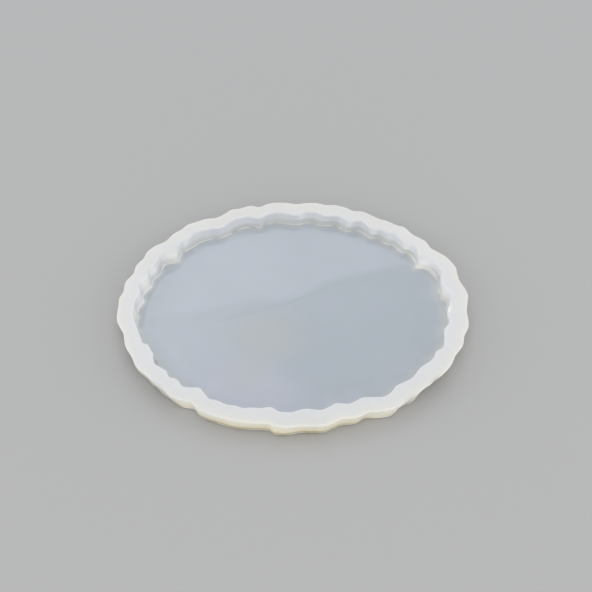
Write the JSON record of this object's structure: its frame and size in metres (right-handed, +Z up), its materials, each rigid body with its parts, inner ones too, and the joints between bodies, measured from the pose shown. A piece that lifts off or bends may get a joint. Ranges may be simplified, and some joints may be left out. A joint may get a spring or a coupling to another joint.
{
  "type": "resin casting mould",
  "caption": "Shallow round silicone mould with a wavy thick rim and a thin flat web, open on top, for casting a resin tray.",
  "frame": {"origin": "middle of the flat underside: the centre of the bounding box in X and Y, at the base", "axes": "+Z up, out of the open cavity; +X to the right and +Y away from a person who stands in front of it"},
  "size_m": [0.2532, 0.2508, 0.011],
  "materials": {
    "milky_silicone": "matte milky white silicone, cream where light passes through it",
    "translucent_silicone": "smooth satin translucent silicone, bluish grey over a shaded surface"
  },
  "bodies": {
    "root": {"perimeter_wall": "milky_silicone", "casting_floor": "translucent_silicone"}
  },
  "joints": []
}
